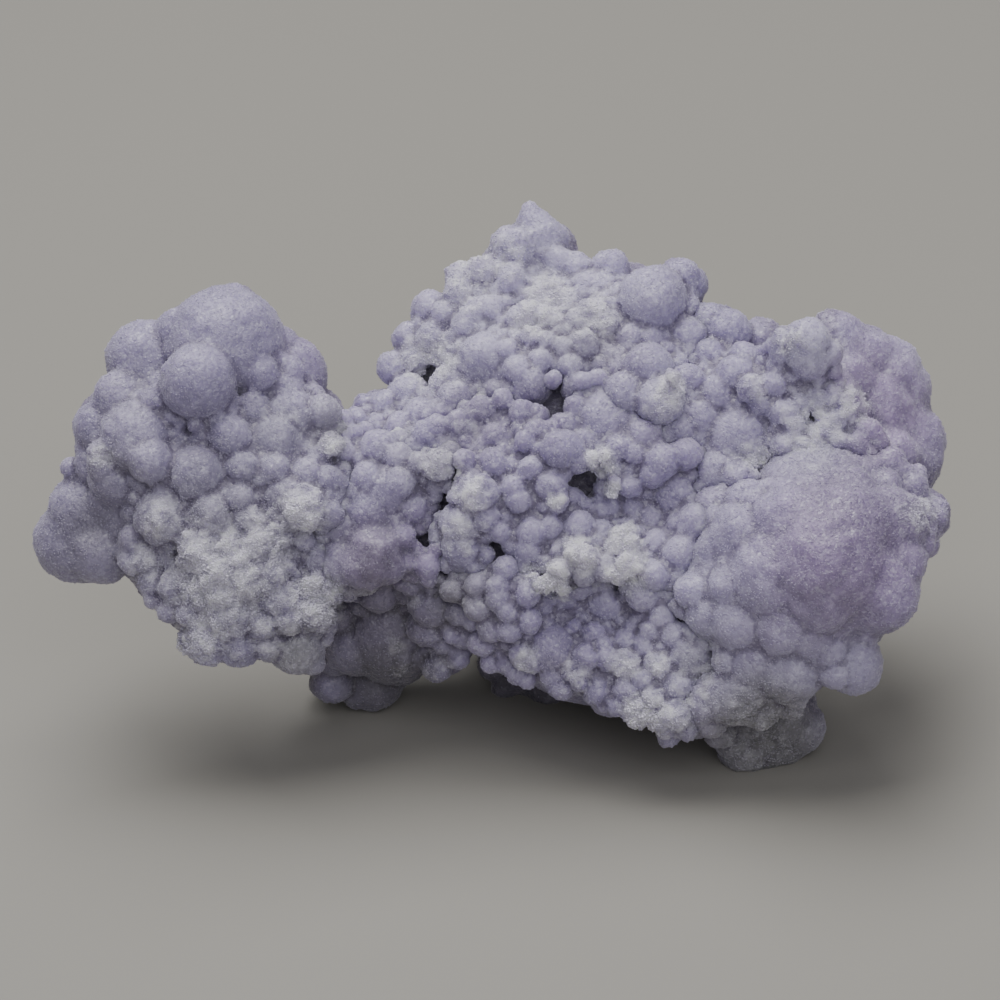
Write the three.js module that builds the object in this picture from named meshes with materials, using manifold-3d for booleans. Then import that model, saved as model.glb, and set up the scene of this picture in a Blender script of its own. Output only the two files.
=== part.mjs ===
// Botryoidal chalcedony: one loose piece of grape-like lavender stone, in millimetres, +Z up.
// The origin is on the surface it rests on, under the middle of its box.
import * as THREE from 'three';
import { mergeVertices } from 'three/addons/utils/BufferGeometryUtils.js';
import Module from 'manifold-3d';

const wasm = await Module();
wasm.setup();

// The stone is described as it is seen from before and above.
// Across runs right, up runs up the view, and front runs toward the eye.
const LOOK_DOWN = THREE.MathUtils.degToRad(30);
const LEAN = THREE.MathUtils.degToRad(3.7);
const VIEW_DISTANCE = 238;
const MIDDLE_HEIGHT = 20.9;
const SHIFT_X = 0.2;
const SHIFT_Y = -6.6;

// A lump is across, up, front of its nearest point, and radius.
const LEFT_LOBE = [
  [-21.6, 8.4, 1.0, 2.9], [-19.6, 11.0, -1.5, 4.2], [-25.2, 9.9, -4.0, 3.0], [-15.0, 8.8, -4.0, 3.0],
  [-17.2, 9.0, -1.6, 1.8], [-14.6, 6.0, -1.6, 2.2], [-18.2, 4.6, -0.2, 2.0], [-14.4, 1.8, -0.4, 2.0],
  [-21.6, 1.9, 0.2, 2.3], [-25.8, 4.0, -0.4, 2.9], [-28.0, 2.0, -2.0, 2.1], [-28.6, 5.2, -3.6, 2.0],
  [-24.1, -1.2, -0.6, 2.1], [-24.6, -5.6, -2.2, 2.0], [-19.6, -0.8, 0.2, 2.0], [-14.4, -1.4, 0.2, 2.1],
  [-19.0, -4.5, 0.2, 3.5], [-13.4, -6.4, -1.0, 2.1], [-19.8, -9.4, -1.4, 2.4], [-15.2, -9.6, -2.0, 2.3],
  [-30.2, -2.9, -4.6, 3.1], [-29.6, -0.2, -4.4, 2.6],
];
const BRIDGE = [
  [-8.4, 3.2, -1.6, 1.8], [-8.0, 0.6, -0.8, 2.1], [-9.0, -3.9, -0.4, 2.1], [-11.2, -4.5, -0.8, 1.9],
];
const CENTRE = [
  [-3.6, 5.0, -2.0, 1.8], [-4.2, 2.2, -0.6, 1.7], [-0.2, 3.4, -0.2, 1.9], [4.4, 3.6, 0.2, 2.0],
  [2.6, 0.6, 0.4, 1.9], [-1.6, 0.0, 0.4, 2.0], [-2.4, -2.8, 0.2, 2.2], [2.0, -3.0, 0.4, 2.0],
  [7.3, 5.5, -1.4, 2.3], [12.0, 1.4, 0.2, 2.3], [7.2, -4.2, 0.9, 2.0], [3.8, -5.6, 0.9, 1.7],
  [11.2, -4.6, 1.0, 2.0], [13.6, 4.8, -0.8, 1.9],
];
const LOWER_MIDDLE = [
  [0.0, -6.0, 0.4, 1.8], [-1.0, -8.6, -0.4, 1.9], [3.4, -9.2, -0.2, 2.1], [4.6, -11.8, -0.8, 2.0],
  [7.8, -13.0, -0.4, 2.0], [8.8, -10.2, 0.5, 2.0], [7.5, -7.3, -0.2, 1.8], [10.4, -14.8, 0.2, 1.8],
  [12.8, -15.2, 0.4, 1.8], [13.4, -11.0, 1.2, 2.0],
];
const BACK_BOTTOM = [
  [-8.4, -7.0, -4.6, 2.0], [-10.3, -10.0, -8.5, 2.5], [-7.2, -9.8, -7.8, 2.0], [-9.0, -13.0, -13.2, 2.2],
  [-12.0, -12.7, -12.4, 1.9], [-4.6, -11.2, -7.0, 2.0], [-5.0, -8.2, -3.6, 2.0],
];
const TOP = [
  [2.9, 18.6, -9.6, 2.2], [2.2, 20.0, -10.2, 1.5], [0.6, 17.2, -8.6, 2.2], [-2.3, 15.6, -8.0, 2.0],
  [-4.2, 13.0, -7.6, 2.0], [-0.8, 13.0, -6.4, 2.0], [-1.2, 9.8, -4.4, 2.3], [-5.8, 10.4, -7.2, 2.1],
  [-6.2, 7.4, -6.0, 2.3], [4.9, 16.3, -8.6, 2.0], [7.6, 15.8, -7.8, 2.0], [10.9, 14.3, -4.2, 2.6],
  [13.2, 15.4, -7.2, 1.8], [6.8, 12.6, -4.6, 2.1], [2.6, 12.6, -5.6, 2.1], [1.8, 8.8, -2.6, 2.2],
  [10.6, 9.4, -2.2, 2.1], [8.6, 7.9, -1.8, 2.0], [11.6, 6.9, -1.0, 1.9],
];
const RIGHT_KNOB = [
  [22.0, 11.2, -0.4, 1.9], [20.8, 9.2, -1.0, 2.0], [18.6, 7.9, -0.8, 1.8], [15.8, 8.0, -2.0, 2.0],
  [16.8, 4.4, -0.8, 2.3], [20.6, 5.0, -0.2, 2.0], [23.0, 6.8, -0.7, 2.0], [25.2, 5.6, -0.6, 2.0],
  [16.2, 11.8, -5.0, 2.1], [18.6, 11.0, -6.5, 2.0],
];
const RIGHT_BACK = [
  [24.2, 11.4, -8.0, 2.3], [27.9, 9.0, -9.0, 2.9], [29.4, 4.0, -8.4, 2.6], [30.2, -0.9, -5.4, 2.2],
];
const BULGE = [
  [23.4, -4.6, 7.6, 4.0], [19.3, -5.4, 5.6, 2.9], [26.9, -6.7, 5.8, 3.1], [26.6, -1.8, 5.0, 3.3],
  [21.8, -1.4, 5.6, 2.9], [17.4, -2.2, 3.4, 2.5], [15.6, -6.3, 3.6, 2.2], [18.4, -9.2, 4.6, 2.3],
  [20.6, -12.4, 3.4, 2.4], [25.2, -11.7, 3.4, 2.4], [16.7, -13.7, 1.6, 2.5], [23.4, 1.2, 2.4, 2.2],
  [27.6, 1.4, 1.2, 2.2],
];
const FOOT = [
  [19.4, -17.0, -4.4, 2.6], [17.5, -17.8, -4.6, 2.1], [21.1, -16.3, -4.2, 2.1],
];

// A core carries the lumps: its middle as across, up and front, its three radii,
// and how many lumps grow on its hidden back.
const CORES = [
  { middle: [-20.5, 1.5, -6.8], radii: [8.6, 11.0, 5.8], rear: 7 },
  { middle: [-28.8, -1.0, -8.0], radii: [3.2, 4.2, 3.2], rear: 0 },
  { middle: [-16.6, -6.0, -4.8], radii: [4.4, 4.4, 3.4], rear: 0 },
  { middle: [-9.2, -0.8, -4.8], radii: [5.6, 4.2, 3.8], rear: 0 },
  { middle: [4.0, -0.5, -7.4], radii: [12.0, 12.6, 6.6], rear: 0 },
  { middle: [3.4, 10.6, -12.0], radii: [8.2, 7.8, 6.0], rear: 3 },
  { middle: [19.6, 4.6, -6.0], radii: [7.6, 7.0, 4.8], rear: 0 },
  { middle: [22.6, -4.0, -1.0], radii: [6.8, 9.0, 6.6], rear: 0 },
  { middle: [13.4, -11.0, -3.6], radii: [7.0, 5.0, 4.0], rear: 0 },
  { middle: [26.4, 3.6, -11.0], radii: [4.6, 7.2, 4.6], rear: 2 },
  { middle: [-7.6, -8.0, -12.0], radii: [5.0, 5.8, 6.4], rear: 1 },
  { middle: [19.2, -14.4, -6.0], radii: [3.6, 4.2, 3.4], rear: 0 },
  { middle: [5.0, 0.8, -15.0], radii: [14.0, 10.8, 7.8], rear: 9 },
  { middle: [7.0, -8.5, -19.0], radii: [9.0, 7.5, 5.5], rear: 3 },
];

// A pit is across, up and front of its middle, then its three radii.
const PITS = [
  [6.2, 1.2, -1.0, 1.5, 1.0, 3.0],
  [3.8, 7.0, -2.4, 1.1, 1.2, 2.4],
  [19.3, 2.0, 0.4, 1.3, 0.9, 3.2],
];

// Rear lumps go round the back of a core at the golden angle, in these sizes in turn.
const GOLDEN_ANGLE = Math.PI * (3 - Math.sqrt(5));
const REAR_RADII = [3.4, 2.6, 3.9, 2.2, 3.0];
const REAR_EDGE = 0.3;
const REAR_SINK = 0.5;

// Facets cut inside the round form, so each ball is made a little larger.
const BALL_ALLOWANCE = 1.03;
const CORE_ALLOWANCE = 1.06;
const SMALL_RADIUS = 2.7;
const GROUND_SIZE = 200;

const across = new THREE.Vector3(
  Math.cos(LEAN), -Math.sin(LEAN) * Math.sin(LOOK_DOWN), -Math.sin(LEAN) * Math.cos(LOOK_DOWN));
const up = new THREE.Vector3(
  Math.sin(LEAN), Math.cos(LEAN) * Math.sin(LOOK_DOWN), Math.cos(LEAN) * Math.cos(LOOK_DOWN));
const front = new THREE.Vector3(0, -Math.cos(LOOK_DOWN), Math.sin(LOOK_DOWN));

// What stands farther from the eye looks smaller, so it is made larger by this much.
const trueScale = depth => 1 - depth / VIEW_DISTANCE;

const placeInView = (a, u, depth) => new THREE.Vector3(SHIFT_X, SHIFT_Y, MIDDLE_HEIGHT)
  .addScaledVector(across, a * trueScale(depth))
  .addScaledVector(up, u * trueScale(depth))
  .addScaledVector(front, depth);

function toSolid(geometry) {
  geometry.deleteAttribute('normal');
  geometry.deleteAttribute('uv');
  const merged = mergeVertices(geometry);
  return new wasm.Manifold(new wasm.Mesh({
    numProp: 3,
    vertProperties: new Float32Array(merged.attributes.position.array),
    triVerts: new Uint32Array(merged.index.array),
  }));
}

function toGeometry(solid) {
  const mesh = solid.getMesh();
  const geometry = new THREE.BufferGeometry();
  geometry.setAttribute('position', new THREE.BufferAttribute(mesh.vertProperties, 3));
  geometry.setIndex(new THREE.BufferAttribute(mesh.triVerts, 1));
  geometry.computeVertexNormals();
  return geometry;
}

// A ball has as many facets as its size shows, and each is turned its own way.
function ball(centre, radius, turn) {
  const Shape = radius < SMALL_RADIUS ? THREE.OctahedronGeometry : THREE.IcosahedronGeometry;
  const geometry = new Shape(radius * BALL_ALLOWANCE, 1);
  geometry.rotateX(turn).rotateZ(turn * GOLDEN_ANGLE);
  return toSolid(geometry.translate(...centre));
}

function ellipsoid(middle, radii) {
  const geometry = new THREE.IcosahedronGeometry(CORE_ALLOWANCE, 1);
  geometry.scale(...radii);
  geometry.applyMatrix4(new THREE.Matrix4().makeBasis(across, up, front));
  return toSolid(geometry.translate(...placeInView(...middle)));
}

function seenLump([a, u, nearest, radius], index) {
  const depth = nearest - radius;
  return ball(placeInView(a, u, depth), radius * trueScale(depth), index);
}

function rearLumps({ middle: [a, u, depth], radii, rear }) {
  return Array.from({ length: rear }, (_, index) => {
    const back = REAR_EDGE + (1 - REAR_EDGE) * (index + 0.5) / rear;
    const ring = Math.sqrt(1 - back * back);
    const angle = index * GOLDEN_ANGLE;
    const radius = REAR_RADII[index % REAR_RADII.length];
    const sink = 1 - REAR_SINK * radius / Math.min(...radii);
    const centre = placeInView(
      a + radii[0] * ring * Math.cos(angle) * sink,
      u + radii[1] * ring * Math.sin(angle) * sink,
      depth - radii[2] * back * sink);
    return ball(centre, radius, index);
  });
}

const lumps = [
  ...LEFT_LOBE, ...BRIDGE, ...CENTRE, ...LOWER_MIDDLE, ...BACK_BOTTOM,
  ...TOP, ...RIGHT_KNOB, ...RIGHT_BACK, ...BULGE, ...FOOT,
].map(seenLump);

const ground = new THREE.BoxGeometry(GROUND_SIZE, GROUND_SIZE, GROUND_SIZE);
ground.translate(0, 0, -GROUND_SIZE / 2);

const grown = CORES.map(core => ellipsoid(core.middle, core.radii))
  .concat(CORES.flatMap(rearLumps), lumps)
  .reduce((body, piece) => body.add(piece));
const pitted = PITS.map(([a, u, depth, ...radii]) => ellipsoid([a, u, depth], radii))
  .reduce((body, pit) => body.subtract(pit), grown);
const stone = pitted.subtract(toSolid(ground));

const chalcedony = new THREE.Mesh(
  toGeometry(stone),
  new THREE.MeshStandardMaterial({ color: 0x9b99ad, roughness: 0.55, metalness: 0 }));
chalcedony.name = 'chalcedony';

const group = new THREE.Group();
group.add(chalcedony);

export default group;
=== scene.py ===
import math
import random

import bmesh
import bpy
import numpy as np
from mathutils import Matrix, Vector


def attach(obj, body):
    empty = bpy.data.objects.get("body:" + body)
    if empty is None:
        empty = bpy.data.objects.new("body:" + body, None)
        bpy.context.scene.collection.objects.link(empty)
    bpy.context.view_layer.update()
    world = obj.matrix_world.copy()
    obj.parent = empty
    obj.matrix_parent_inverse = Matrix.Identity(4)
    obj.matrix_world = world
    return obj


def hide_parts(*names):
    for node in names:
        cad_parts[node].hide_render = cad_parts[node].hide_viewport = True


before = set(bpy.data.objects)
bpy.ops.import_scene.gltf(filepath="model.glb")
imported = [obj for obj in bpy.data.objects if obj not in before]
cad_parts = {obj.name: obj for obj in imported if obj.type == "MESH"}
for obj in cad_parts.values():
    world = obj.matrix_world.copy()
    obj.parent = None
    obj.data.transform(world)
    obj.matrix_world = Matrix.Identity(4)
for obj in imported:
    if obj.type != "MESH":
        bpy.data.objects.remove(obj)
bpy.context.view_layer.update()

MM = 0.001

# The stone is described as it is seen from before and above, in millimetres.
# Across runs right, up runs up the view, and front runs toward the eye.
LOOK_DOWN = math.radians(30)
LEAN = math.radians(3.7)
VIEW_DISTANCE = 238.0
MIDDLE = Vector((0.2, -6.6, 20.9))
ACROSS = Vector((
    math.cos(LEAN), -math.sin(LEAN) * math.sin(LOOK_DOWN), -math.sin(LEAN) * math.cos(LOOK_DOWN)))
UP = Vector((math.sin(LEAN), math.cos(LEAN) * math.sin(LOOK_DOWN), math.cos(LEAN) * math.cos(LOOK_DOWN)))
FRONT = Vector((0.0, -math.cos(LOOK_DOWN), math.sin(LOOK_DOWN)))
VIEW_AXES = Matrix((ACROSS, UP, FRONT)).transposed()
GOLDEN_ANGLE = math.pi * (3 - math.sqrt(5))

# A lump is across, up, front of its nearest point, and radius.
LEFT_LUMPS = [
    (-21.6, 8.4, 1.0, 2.75), (-19.6, 11.0, -1.5, 4.1), (-25.2, 9.9, -4.0, 2.9), (-15.2, 9.0, -4.0, 2.9),
    (-15.7, 11.2, -5.0, 1.3), (-14.9, 9.3, -3.4, 1.0), (-13.8, 8.5, -4.6, 0.7), (-17.3, 9.2, -1.6, 1.5),
    (-15.2, 8.0, -2.6, 1.3), (-14.8, 6.1, -1.6, 1.9), (-12.6, 6.2, -2.0, 1.35), (-12.0, 3.9, -1.4, 0.9),
    (-15.9, 4.4, -0.8, 1.7), (-19.3, 4.6, -0.2, 1.6), (-17.6, 6.6, -1.0, 1.2), (-16.2, 2.2, -0.4, 1.2),
    (-13.8, 1.9, -0.8, 1.1), (-12.4, 1.5, -1.0, 1.2), (-21.6, 1.9, 0.2, 2.2), (-18.4, 2.4, -0.2, 1.3),
    (-25.8, 4.4, -0.8, 2.8), (-25.0, 2.8, 0.2, 1.6), (-28.4, 3.3, -1.8, 1.0), (-28.3, 2.2, -1.8, 1.1),
    (-27.5, 1.6, -2.2, 1.9), (-28.6, 5.2, -3.6, 1.9), (-29.6, 3.7, -4.6, 0.8), (-24.1, -1.2, -0.6, 1.95),
    (-26.5, -2.7, -2.4, 0.95), (-26.4, -4.3, -2.6, 0.95), (-25.0, -4.2, -2.4, 0.8), (-24.9, -6.0, -3.0, 1.0),
    (-24.9, -7.2, -3.4, 0.6), (-23.3, -6.3, -1.8, 1.2), (-23.6, -8.0, -2.6, 0.9), (-20.6, -0.9, 0.2, 1.5),
    (-18.6, 0.2, 0.0, 1.0), (-17.9, -1.5, 0.0, 1.1), (-16.3, -2.3, -0.4, 0.7), (-15.2, 0.3, -0.4, 1.4),
    (-14.0, -0.6, 0.2, 1.7), (-12.2, -1.0, -0.8, 1.1), (-21.4, -3.4, 0.0, 1.6), (-20.3, -4.8, 0.2, 2.0),
    (-18.3, -5.2, 0.2, 2.1), (-19.6, -6.8, -0.2, 1.9), (-17.6, -3.2, 0.3, 1.1), (-19.5, -3.3, 0.4, 0.9),
    (-16.6, -5.4, -0.2, 1.4), (-13.0, -4.4, -1.2, 1.1), (-12.9, -6.2, -1.0, 1.3), (-13.4, -8.0, -1.2, 1.35),
    (-15.1, -8.5, -1.2, 1.2), (-15.5, -7.0, -0.6, 1.1), (-12.2, -6.8, -1.6, 0.8), (-21.2, -6.6, -0.8, 1.7),
    (-19.3, -8.2, -0.6, 1.9), (-17.0, -9.0, -1.2, 1.0), (-20.6, -9.8, -1.6, 2.0), (-18.8, -10.2, -1.8, 1.8),
    (-22.0, -8.2, -1.4, 1.1), (-22.2, -10.0, -3.0, 0.9), (-14.5, -10.5, -2.6, 2.0), (-13.4, -11.7, -3.6, 0.9),
    (-16.4, -10.4, -2.4, 1.2), (-18.9, 14.6, -4.6, 0.9), (-20.3, 14.5, -4.6, 0.8), (-30.2, -2.9, -4.6, 3.1),
    (-29.8, -0.8, -4.4, 2.5), (-28.6, -3.8, -4.0, 2.3), (-30.6, 2.2, -5.2, 0.9), (-30.9, 0.4, -5.2, 0.9),
    (-23.0, 12.2, -3.6, 1.6), (-22.0, -4.6, -0.8, 1.1), (-16.9, 11.9, -4.2, 1.5), (-27.2, 7.4, -3.0, 1.8),
    (-24.4, 7.2, -1.6, 1.2),
]
NECK_LUMPS = [
    (-8.6, 3.6, -1.8, 1.45), (-7.3, 3.1, -1.2, 1.05), (-9.5, 1.6, -1.0, 1.25), (-5.9, 2.6, -1.0, 0.85),
    (-4.3, 2.5, -0.4, 1.2), (-8.0, 0.6, -0.8, 2.0), (-7.2, 1.2, -0.4, 1.2), (-9.3, -0.8, -1.0, 1.8),
    (-6.4, -0.6, -0.9, 1.2), (-9.0, -3.9, -0.4, 2.0), (-10.0, -4.6, -0.6, 1.7), (-11.2, -4.6, -0.9, 1.7),
    (-8.0, -4.9, -0.8, 1.3), (-6.9, -2.6, -0.6, 0.95), (-5.2, -4.7, -1.2, 0.95), (-5.1, -5.7, -1.6, 0.55),
    (-5.3, -1.3, -2.0, 0.9), (-11.2, 3.4, -2.4, 1.0), (-10.6, 4.6, -3.4, 0.9), (-11.4, -2.0, -1.6, 1.3),
]
CENTRE_LUMPS = [
    (-2.9, 5.5, -1.6, 1.0), (-4.4, 5.2, -2.2, 1.0), (-5.2, 4.7, -2.4, 1.1), (-0.4, 4.6, -0.8, 0.95),
    (-2.5, 2.8, -0.2, 0.9), (-0.5, 2.6, 0.0, 1.2), (2.6, 4.9, -0.6, 1.0), (1.8, 4.2, -0.4, 0.85),
    (3.7, 5.2, -0.6, 0.65), (4.4, 3.6, 0.2, 1.55), (5.6, 2.7, 0.2, 0.9), (2.1, 2.2, 0.2, 0.9),
    (3.6, 1.0, 0.4, 1.25), (4.1, -0.1, 0.5, 0.85), (1.0, 1.0, 0.3, 0.85), (1.3, 0.0, 0.4, 0.95),
    (-1.6, 0.4, 0.4, 1.5), (-2.6, -1.6, 0.2, 1.7), (-2.7, -3.3, 0.0, 1.5), (-0.9, -1.2, 0.3, 1.0),
    (0.0, -2.2, 0.3, 0.9), (2.2, -2.3, 0.4, 1.15), (2.0, -3.6, 0.4, 1.2), (3.6, -1.9, 0.0, 0.9),
    (5.7, -1.9, 0.0, 1.15), (7.5, -0.8, -1.2, 1.6), (7.3, -2.2, -0.4, 0.9), (6.5, 2.9, 0.4, 0.6),
    (7.3, 3.2, 0.2, 0.5), (7.9, 2.3, 0.5, 0.45), (8.1, 1.2, 0.4, 0.55), (8.0, 0.4, 0.3, 0.45),
    (9.3, 0.9, 0.0, 0.85), (10.9, 1.8, 0.2, 0.95), (11.6, 2.8, 0.2, 1.3), (13.2, 3.3, -0.2, 1.3),
    (7.3, 5.5, -1.4, 2.3), (8.5, 3.8, -0.6, 1.0), (9.6, 3.3, -0.4, 0.8), (10.2, 4.6, -1.0, 1.2),
    (12.5, 0.5, 0.0, 2.0), (10.8, -1.3, 0.2, 0.85), (9.4, -0.4, -0.4, 1.0), (12.5, -1.7, 0.4, 0.7),
    (13.3, -2.2, 0.6, 0.6), (8.6, -2.4, 0.7, 0.6), (8.1, -3.2, 0.8, 0.65), (9.2, -3.4, 0.8, 0.8),
    (5.2, -3.9, 0.9, 0.7), (6.3, -3.9, 0.9, 0.8), (4.2, -5.0, 0.9, 0.8), (3.4, -6.0, 0.8, 0.75),
    (4.4, -6.4, 0.6, 0.65), (2.9, -6.1, 0.7, 0.55), (7.5, -4.8, 0.8, 1.0), (9.3, -4.6, 0.9, 1.0),
    (8.6, -5.3, 0.6, 0.9), (10.9, -5.4, 1.0, 1.2), (13.0, -3.9, 1.2, 1.4), (11.2, -3.2, 0.2, 1.2),
    (6.0, -5.4, 0.4, 0.8), (14.2, -1.6, 1.2, 1.5), (3.8, 8.6, -2.2, 0.7), (0.2, 7.1, -2.4, 0.8),
    (1.6, 6.2, -1.4, 1.0), (-1.4, 6.4, -2.4, 1.1), (5.4, 6.6, -1.6, 0.9), (-1.9, 1.7, -0.6, 0.7),
]
LOWER_LUMPS = [
    (0.4, -4.8, 0.4, 0.95), (-0.2, -6.2, 0.4, 0.85), (-0.1, -7.0, 0.3, 0.9), (0.5, -7.9, 0.2, 0.9),
    (1.9, -6.7, 0.6, 1.0), (2.1, -8.6, 0.2, 0.9), (0.6, -9.2, -0.4, 1.0), (-3.4, -6.5, -1.2, 0.9),
    (-1.7, -6.1, -0.2, 0.9), (-1.6, -7.6, -0.6, 1.1), (-0.6, -9.1, -1.2, 1.1), (-1.3, -10.2, -2.5, 1.0),
    (4.2, -8.1, -0.8, 1.4), (5.3, -9.0, 0.0, 0.5), (6.7, -9.5, 0.4, 0.85), (3.8, -10.6, -0.4, 1.9),
    (1.6, -11.0, -1.2, 0.95), (2.3, -11.5, -1.2, 0.8), (4.0, -12.5, -1.4, 1.1), (5.3, -12.2, -0.8, 1.0),
    (5.7, -13.0, -1.0, 0.8), (7.0, -13.6, -1.2, 1.2), (9.0, -10.1, 0.4, 1.0), (7.3, -10.3, 0.2, 0.7),
    (7.6, -11.3, 0.0, 0.9), (8.9, -11.7, 0.6, 1.0), (9.0, -13.5, 0.0, 1.0), (10.2, -12.7, 0.4, 0.8),
    (9.9, -15.0, 0.2, 1.25), (11.1, -15.7, 0.0, 0.95), (8.3, -14.6, -0.6, 0.8), (11.3, -11.8, 0.8, 0.9),
    (10.8, -9.3, 1.0, 0.75), (7.5, -7.3, -0.2, 1.7), (8.7, -8.6, 0.0, 1.0), (10.3, -6.8, 1.0, 1.2),
    (10.4, -10.4, 0.5, 0.9), (11.5, -8.2, 1.0, 1.1), (12.6, -15.2, 0.6, 1.3), (12.1, -16.7, -1.4, 0.95),
    (11.0, -13.9, 0.4, 0.9), (13.5, -11.0, 1.2, 1.6), (12.6, -13.2, 0.6, 1.1), (6.2, -11.2, -0.2, 1.0),
    (13.4, -16.3, -0.6, 0.9), (12.3, -9.6, 1.4, 1.1),
]
UNDER_LUMPS = [
    (-8.6, -6.7, -4.6, 1.4), (-10.3, -10.0, -8.5, 2.5), (-7.2, -8.3, -7.2, 1.2), (-7.4, -10.3, -8.0, 1.4),
    (-6.8, -10.9, -7.8, 0.7), (-7.2, -12.0, -10.0, 0.95), (-9.0, -13.0, -13.0, 2.0),
    (-10.2, -14.0, -13.8, 1.0), (-12.0, -12.9, -12.2, 1.6), (-4.5, -11.9, -7.0, 1.15),
    (-3.0, -11.3, -6.0, 0.85), (-5.2, -9.0, -4.6, 1.5), (-4.9, -7.5, -3.0, 1.6), (-6.0, -7.4, -4.4, 0.6),
    (-3.5, -9.7, -4.0, 0.6), (-11.6, -8.0, -7.4, 1.5), (-3.0, -8.0, -2.6, 1.0), (-2.6, -9.4, -4.2, 1.2),
    (-3.6, -8.9, -4.0, 1.0), (-5.8, -11.0, -8.0, 1.0), (-11.8, -11.0, -10.4, 1.5),
]
TOP_LUMPS = [
    (2.7, 18.4, -9.4, 1.95), (2.3, 19.9, -10.2, 1.15), (2.5, 19.3, -9.9, 1.5), (2.15, 20.85, -10.8, 0.6),
    (4.0, 18.8, -10.4, 1.1), (1.0, 17.9, -8.8, 1.8), (-1.3, 16.4, -8.2, 1.2), (-2.9, 16.0, -8.4, 1.1),
    (-3.0, 14.8, -7.6, 1.2), (-0.6, 13.7, -6.6, 1.0), (-1.8, 13.2, -6.6, 1.2), (-3.9, 13.2, -7.6, 1.1),
    (-5.0, 13.6, -8.6, 1.4), (0.9, 15.6, -7.6, 1.3), (-2.4, 12.3, -6.4, 1.2), (-1.0, 10.0, -4.4, 2.0),
    (-6.0, 10.2, -7.4, 1.2), (-3.6, 10.5, -6.2, 0.85), (-3.6, 11.3, -6.6, 0.75), (-3.3, 9.3, -5.6, 0.8),
    (-4.2, 8.2, -5.4, 0.95), (-7.6, 9.4, -7.8, 1.3), (-4.8, 11.7, -7.2, 1.2), (-6.6, 7.4, -6.4, 1.6),
    (-8.2, 6.6, -6.6, 1.3), (-5.6, 6.0, -4.6, 1.4), (-9.7, 6.8, -7.4, 0.85), (-7.0, 5.2, -4.4, 1.2),
    (-3.2, 7.2, -4.0, 1.3), (-8.9, 5.2, -5.4, 1.0), (5.3, 16.6, -8.6, 1.3), (4.2, 16.9, -8.8, 1.2),
    (7.9, 16.6, -8.0, 1.35), (6.2, 15.5, -7.4, 1.0), (7.3, 15.4, -7.2, 1.0), (10.9, 14.3, -4.2, 2.5),
    (12.8, 15.7, -7.0, 1.6), (13.6, 15.4, -7.6, 1.3), (6.6, 13.2, -5.0, 1.4), (7.6, 12.5, -4.6, 1.3),
    (2.3, 13.2, -5.6, 1.2), (1.3, 12.9, -5.8, 1.0), (3.3, 12.8, -5.2, 0.75), (3.4, 14.8, -7.0, 1.1),
    (4.9, 14.2, -6.6, 0.9), (5.5, 12.8, -4.8, 0.9), (5.9, 11.1, -3.6, 1.1), (4.5, 10.9, -3.8, 0.8),
    (2.3, 11.6, -4.4, 0.9), (3.3, 11.3, -4.2, 0.8), (0.5, 10.8, -4.2, 0.75), (7.8, 10.3, -3.4, 1.05),
    (2.9, 9.9, -3.4, 1.0), (1.3, 9.2, -3.2, 1.2), (2.2, 8.2, -2.6, 1.5), (5.8, 8.4, -2.4, 0.8),
    (6.9, 8.7, -2.6, 0.7), (10.6, 9.4, -2.2, 1.9), (9.0, 7.5, -1.8, 1.8), (11.4, 7.0, -1.0, 1.8),
    (12.3, 8.8, -0.6, 0.5), (9.4, 11.4, -3.8, 1.2), (8.6, 14.6, -6.4, 1.0), (13.4, 11.6, -5.0, 1.6),
    (5.0, 9.6, -3.2, 0.9), (-6.6, 11.6, -8.4, 1.2),
]
KNOB_LUMPS = [
    (22.0, 11.4, 0.8, 1.7), (22.1, 10.2, 0.5, 1.6), (20.2, 10.5, -0.9, 1.0), (20.0, 9.4, -1.4, 1.3),
    (21.6, 8.8, -1.6, 1.3), (18.0, 7.9, -0.8, 1.15), (19.4, 8.1, -0.8, 1.15), (18.7, 6.9, -1.0, 1.0),
    (16.9, 8.7, -2.0, 1.6), (15.5, 7.6, -2.0, 1.35), (13.4, 8.6, -2.4, 1.2), (14.3, 5.9, -1.6, 1.4),
    (17.0, 4.6, -0.8, 2.1), (15.4, 1.9, -0.2, 1.5), (17.0, 1.6, 0.4, 1.2), (20.2, 6.2, -0.4, 1.1),
    (20.9, 5.2, -0.2, 0.85), (20.3, 3.9, -0.2, 0.95), (21.5, 3.7, 0.0, 0.95), (22.7, 7.3, -0.8, 1.2),
    (21.4, 7.0, -0.8, 0.8), (24.8, 6.6, -0.8, 1.25), (23.8, 7.4, -0.9, 0.8), (22.6, 4.8, 0.0, 0.85),
    (24.0, 5.7, -0.4, 0.85), (23.4, 4.9, -0.1, 0.8), (22.6, 3.6, 0.1, 0.95), (24.0, 4.2, -0.2, 0.8),
    (25.4, 3.9, -0.2, 1.0), (26.2, 4.8, -0.8, 1.1), (27.0, 4.0, -1.0, 0.9), (16.2, 11.9, -5.0, 1.9),
    (14.8, 12.7, -6.0, 1.4), (18.6, 11.2, -6.5, 1.8), (19.8, 11.0, -7.0, 1.4), (17.4, 10.3, -3.4, 1.1),
    (15.0, 10.4, -4.2, 1.2), (13.0, 5.0, -1.4, 1.1), (18.8, 5.6, -2.2, 0.9),
]
RIGHT_BACK_LUMPS = [
    (24.2, 11.4, -8.0, 2.2), (27.6, 9.3, -9.0, 2.55), (29.0, 7.9, -9.4, 2.0), (29.6, 4.3, -8.6, 2.4),
    (29.5, 2.6, -7.6, 2.2), (30.6, -1.0, -5.6, 1.9), (27.0, 6.8, -7.4, 2.5), (30.2, -3.2, -5.0, 1.2),
    (26.2, 10.4, -8.2, 1.8), (28.2, 3.4, -5.6, 1.8), (25.0, 9.0, -6.6, 1.8),
]
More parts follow.
